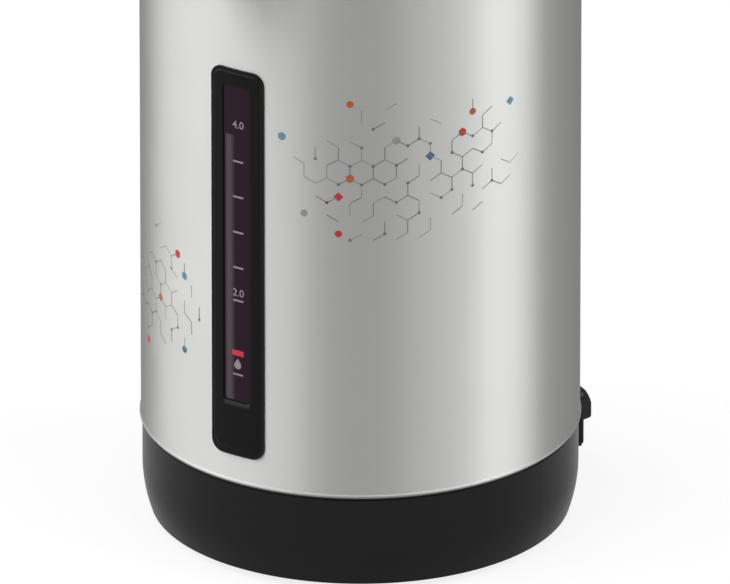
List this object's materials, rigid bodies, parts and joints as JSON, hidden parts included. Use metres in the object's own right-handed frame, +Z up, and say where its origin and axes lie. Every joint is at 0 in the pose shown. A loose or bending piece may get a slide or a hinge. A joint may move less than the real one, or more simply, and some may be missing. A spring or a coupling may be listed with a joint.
{
  "type": "electric thermo pot",
  "caption": "Cylindrical insulated hot water dispenser on a turntable, with gauge window, pump spout, hinged lid with press plate, bail handle and rear power inlet.",
  "frame": {"origin": "on the table, on the pot's centre line, at the underside of the turntable's rubber pad", "axes": "+Z up, the spout and the gauge face -Y, +X to the right seen from the front"},
  "size_m": [0.2264, 0.2785, 0.3686],
  "materials": {
    "dark_plastic": "fine matt",
    "black_rubber": "matt",
    "white_plastic": "satin",
    "base_plastic": "gloss",
    "zinc_steel": "zinc plated",
    "inlet_plastic": "satin",
    "brass": "bright",
    "steel": "bright",
    "circuit_board": "satin",
    "board_parts": "satin",
    "red_wire": "satin",
    "grey_wire": "satin",
    "aluminium": "cast",
    "element_steel": "heat tinted",
    "ceramic": "matt",
    "tank_steel": "drawn stainless steel",
    "silicone": "satin",
    "blue_plastic": "satin",
    "clear_glass": "clear",
    "violet_plastic": "satin",
    "bezel_plastic": "gloss",
    "smoked_lens": "gloss",
    "silver_case": "satin metallic lacquer",
    "frame_plastic": "gloss",
    "panel_plastic": "satin",
    "red_lamp": "clear lens",
    "silver_button": "satin silver",
    "lid_plastic": "gloss",
    "bellows_rubber": "matt"
  },
  "bodies": {
    "turntable": {"turntable_plate": "dark_plastic", "rubber_feet": "black_rubber", "glide_ring": "white_plastic"},
    "pot": {"base_housing": "base_plastic", "bottom_cover": "dark_plastic", "bottom_screws": "zinc_steel", "pivot_screw": "zinc_steel", "pivot_washer": "zinc_steel", "inlet_housing": "inlet_plastic", "inlet_pins": "brass", "inlet_magnets": "steel", "power_board": "circuit_board", "power_board_parts": "board_parts", "base_wiring": "red_wire", "wire_harness": "grey_wire", "heater_plate": "aluminium", "heater_elements": "element_steel", "heater_nuts": "zinc_steel", "thermostats": "ceramic", "inner_tank": "tank_steel", "tank_gasket": "silicone", "tie_rods": "zinc_steel", "pump_motor": "steel", "pump_body": "white_plastic", "suction_sleeve": "silicone", "delivery_hose": "silicone", "gauge_tube": "clear_glass", "gauge_seal": "silicone", "gauge_channel": "violet_plastic", "gauge_bezel": "bezel_plastic", "gauge_lens": "smoked_lens", "outer_case": "silver_case", "top_frame": "frame_plastic", "spout_cover": "frame_plastic", "spout_duct": "white_plastic", "tip_valve_body": "white_plastic", "spout_nozzle": "base_plastic", "control_panel": "panel_plastic", "control_board": "circuit_board", "indicator_leds": "red_lamp", "lid_hinge_pin": "steel", "handle_pins": "silver_button"},
    "impeller": {"pump_impeller": "blue_plastic", "pump_shaft": "steel"},
    "valve_ball": {"tip_valve_ball": "steel"},
    "dispense": {"dispense_button": "silver_button"},
    "reboil": {"reboil_button": "silver_button"},
    "lock": {"lock_button": "silver_button"},
    "lid": {"lid_cover": "lid_plastic", "lid_base": "white_plastic", "lid_gasket": "silicone", "inner_cover": "tank_steel", "bellows": "bellows_rubber", "bellows_spring": "steel", "latch_spring": "steel"},
    "press": {"press_plate": "panel_plastic"},
    "latch": {"lid_latch": "silver_button"},
    "handle": {"handle_bow": "frame_plastic", "handle_grip": "panel_plastic"}
  },
  "joints": [
    {"name": "base_swivel", "type": "hinge", "parent": "turntable", "child": "pot", "pos_m": [0, 0, 0], "axis": [0, 0, 1], "continuous": true},
    {"name": "pump_spin", "type": "hinge", "parent": "pot", "child": "impeller", "pos_m": [0, -0.06, 0.033], "axis": [0, 0, 1], "continuous": true},
    {"name": "valve_roll", "type": "slide", "parent": "pot", "child": "valve_ball", "axis": [0, -1, 0], "range_m": [0, 0.0024]},
    {"name": "dispense_press", "type": "slide", "parent": "pot", "child": "dispense", "axis": [0, 0.1633, -0.9866], "range_m": [0, 0.0012], "stiffness_N_per_m": 600, "springref_m": -0.0015},
    {"name": "reboil_press", "type": "slide", "parent": "pot", "child": "reboil", "axis": [0, 0.1633, -0.9866], "range_m": [0, 0.0012], "stiffness_N_per_m": 500, "springref_m": -0.0015},
    {"name": "lock_press", "type": "slide", "parent": "pot", "child": "lock", "axis": [0, 0.1633, -0.9866], "range_m": [0, 0.0012], "stiffness_N_per_m": 500, "springref_m": -0.0015},
    {"name": "lid_hinge", "type": "hinge", "parent": "pot", "child": "lid", "pos_m": [0, 0.0904, 0.351], "axis": [-1, 0, 0], "range_deg": [0, 80]},
    {"name": "press_slide", "type": "slide", "parent": "lid", "child": "press", "axis": [0, 0, -1], "range_m": [0, 0.016], "stiffness_N_per_m": 900, "springref_m": -0.006, "deforming": ["bellows", "bellows_spring"]},
    {"name": "latch_slide", "type": "slide", "parent": "lid", "child": "latch", "axis": [0, 1, 0], "range_m": [0, 0.004], "stiffness_N_per_m": 400, "springref_m": -0.004, "deforming": ["latch_spring"]},
    {"name": "handle_swing", "type": "hinge", "parent": "pot", "child": "handle", "pos_m": [0, 0, 0.3375], "axis": [1, 0, 0], "range_deg": [0, 100]}
  ]
}
